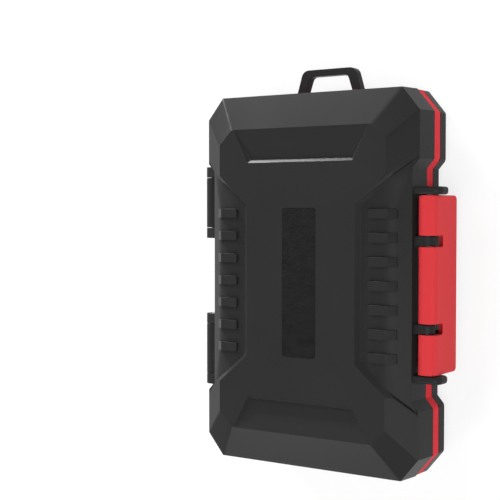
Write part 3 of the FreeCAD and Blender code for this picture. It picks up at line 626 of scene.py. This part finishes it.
def make_floor():
    """Wide pale floor just below the case's flat back."""
    work = bmesh.new()
    bmesh.ops.create_grid(work, x_segments=1, y_segments=1, size=FLOOR_HALF)
    bmesh.ops.translate(work, verts=work.verts, vec=(0.0, 0.0, -FLOOR_GAP))
    mesh = bpy.data.meshes.new("floor")
    work.to_mesh(mesh)
    work.free()
    material = bpy.data.materials.new("Pale floor")
    material.use_nodes = True
    shader = material.node_tree.nodes["Principled BSDF"]
    shader.inputs["Base Color"].default_value = FLOOR_COLOUR
    shader.inputs["Roughness"].default_value = 1.0
    shader.inputs["Specular IOR Level"].default_value = 0.0
    whiten_for_view(material.node_tree, shader)
    mesh.materials.append(material)
    floor = bpy.data.objects.new("floor", mesh)
    bpy.context.scene.collection.objects.link(floor)


def make_world(horizon, zenith):
    """Room that is bright near the floor and dim overhead."""
    world = bpy.data.worlds.new("Soft room")
    world.use_nodes = True
    tree = world.node_tree
    backdrop = tree.nodes["Background"]
    backdrop.inputs["Color"].default_value = WHITE
    spot = new_node(tree, "ShaderNodeTexCoord", (-800, 0)).outputs["Generated"]
    parts = new_node(tree, "ShaderNodeSeparateXYZ", (-600, 0))
    height = new_node(tree, "ShaderNodeMapRange", (-400, 0))
    height.inputs["To Min"].default_value = horizon
    height.inputs["To Max"].default_value = zenith
    link(tree, spot, parts, "Vector")
    link(tree, parts.outputs["Z"], height, "Value")
    link(tree, height.outputs["Result"], backdrop, "Strength")
    bpy.context.scene.world = world


def lamp(name, place, spread, power):
    """Rectangular lamp that is turned to the case and unseen by the camera."""
    data = bpy.data.lights.new(name, "AREA")
    data.shape = "RECTANGLE"
    data.size, data.size_y = spread
    data.energy = power
    source = bpy.data.objects.new(name, data)
    source.location = place
    source.rotation_euler = (LAMP_AIM - Vector(place)).to_track_quat("-Z", "Y").to_euler()
    source.visible_camera = False
    bpy.context.scene.collection.objects.link(source)


def make_camera(stage):
    """Camera that sees the case as the photograph does."""
    data = bpy.data.cameras.new("Camera")
    data.sensor_width = SENSOR_WIDTH
    data.sensor_fit = "HORIZONTAL"
    data.lens = stage.focal_length
    data.clip_start = NEAREST_SEEN
    camera = bpy.data.objects.new("Camera", data)
    camera.location = stage.camera_place
    turn = Euler(stage.camera_tilt, "XYZ").to_matrix().transposed()
    camera.rotation_euler = turn.to_euler()
    bpy.context.scene.collection.objects.link(camera)
    bpy.context.scene.camera = camera


class CASE_OT_shells(bpy.types.Operator):
    """Moulded black shells of the lid and the base"""

    bl_idname = "card_case.shells"
    bl_label = "Shells"

    def execute(self, context):
        finish = context.scene.case_finish
        plastic = shell_plastic(tuple(finish.shell_colour))
        edge = finish.shell_edge
        ears = (finish.ear_place, finish.ear_edge)
        softened_copy("base_shell", edge, "base", plastic, SHELL_ROOM_SHARE)
        softened_copy("lid_shell", edge, "lid", plastic, SHELL_ROOM_SHARE, ears)
        return {"FINISHED"}


class CASE_OT_liners(bpy.types.Operator):
    """Red liners with their card wells"""

    bl_idname = "card_case.liners"
    bl_label = "Liners"

    def execute(self, context):
        finish = context.scene.case_finish
        rubber = liner_rubber(tuple(finish.liner_colour))
        softened_copy("base_liner", finish.liner_edge, "base", rubber)
        softened_copy("lid_liner", finish.liner_edge, "lid", rubber)
        return {"FINISHED"}


class CASE_OT_latch(bpy.types.Operator):
    """Red latch plate with its knuckles and hook bars"""

    bl_idname = "card_case.latch"
    bl_label = "Latch"

    def execute(self, context):
        finish = context.scene.case_finish
        plastic = latch_plastic(tuple(finish.latch_colour))
        softened_copy("latch", finish.latch_edge, "latch", plastic)
        return {"FINISHED"}


class CASE_OT_pins(bpy.types.Operator):
    """Steel pins of the hinges and the latch"""

    bl_idname = "card_case.pins"
    bl_label = "Pins"

    def execute(self, context):
        finish = context.scene.case_finish
        steel = pin_steel(tuple(finish.pin_colour))
        for node in ("latch_pin", "hinge_pin_loop_end", "hinge_pin_far_end"):
            dress_node(node, steel)
        return {"FINISHED"}


class CASE_OT_label(bpy.types.Operator):
    """Bare grained plate in the lid's face"""

    bl_idname = "card_case.label_plate"
    bl_label = "Label Plate"

    def execute(self, context):
        finish = context.scene.case_finish
        dress_node("label_plate", label_grain(tuple(finish.label_colour)))
        return {"FINISHED"}


class CASE_OT_stage(bpy.types.Operator):
    """Floor, lamps, world and the camera at the photograph's angle"""

    bl_idname = "card_case.stage"
    bl_label = "Stage"

    def execute(self, context):
        stage = context.scene.case_stage
        make_floor()
        make_world(stage.horizon_light, stage.zenith_light)
        lamp("Left lamp", LEFT_LAMP_PLACE, LEFT_LAMP_SPREAD, stage.left_lamp)
        lamp("Loop lamp", LOOP_LAMP_PLACE, LOOP_LAMP_SPREAD, stage.loop_lamp)
        lamp("Strip lamp", STRIP_LAMP_PLACE, STRIP_LAMP_SPREAD, stage.strip_lamp)
        lamp("Fill lamp", FILL_LAMP_PLACE, FILL_LAMP_SPREAD, stage.fill_lamp)
        lamp("Front lamp", FRONT_LAMP_PLACE, FRONT_LAMP_SPREAD, stage.front_lamp)
        make_camera(stage)
        context.scene.view_settings.view_transform = "Standard"
        return {"FINISHED"}


class CASE_PT_panel(bpy.types.Panel):
    """Steps that build the case"""

    bl_idname = "CASE_PT_panel"
    bl_label = "Card Case"
    bl_space_type = "VIEW_3D"
    bl_region_type = "UI"
    bl_category = "Card Case"

    def draw(self, context):
        for step in STEPS:
            self.layout.operator(step.bl_idname)
        for group in (context.scene.case_finish, context.scene.case_stage):
            column = self.layout.column()
            for name in group.__class__.__annotations__:
                column.prop(group, name)


STEPS = (
    CASE_OT_shells, CASE_OT_liners, CASE_OT_latch, CASE_OT_pins, CASE_OT_label, CASE_OT_stage,
)
CLASSES = (CaseFinish, CaseStage, *STEPS, CASE_PT_panel)


def register():
    for item in CLASSES:
        bpy.utils.register_class(item)
    bpy.types.Scene.case_finish = bpy.props.PointerProperty(type=CaseFinish)
    bpy.types.Scene.case_stage = bpy.props.PointerProperty(type=CaseStage)


def unregister():
    del bpy.types.Scene.case_stage
    del bpy.types.Scene.case_finish
    for item in reversed(CLASSES):
        bpy.utils.unregister_class(item)


def main():
    register()
    bpy.ops.card_case.shells()
    bpy.ops.card_case.liners()
    bpy.ops.card_case.latch()
    bpy.ops.card_case.pins()
    bpy.ops.card_case.label_plate()
    bpy.ops.card_case.stage()


if __name__ == "__main__":
    main()
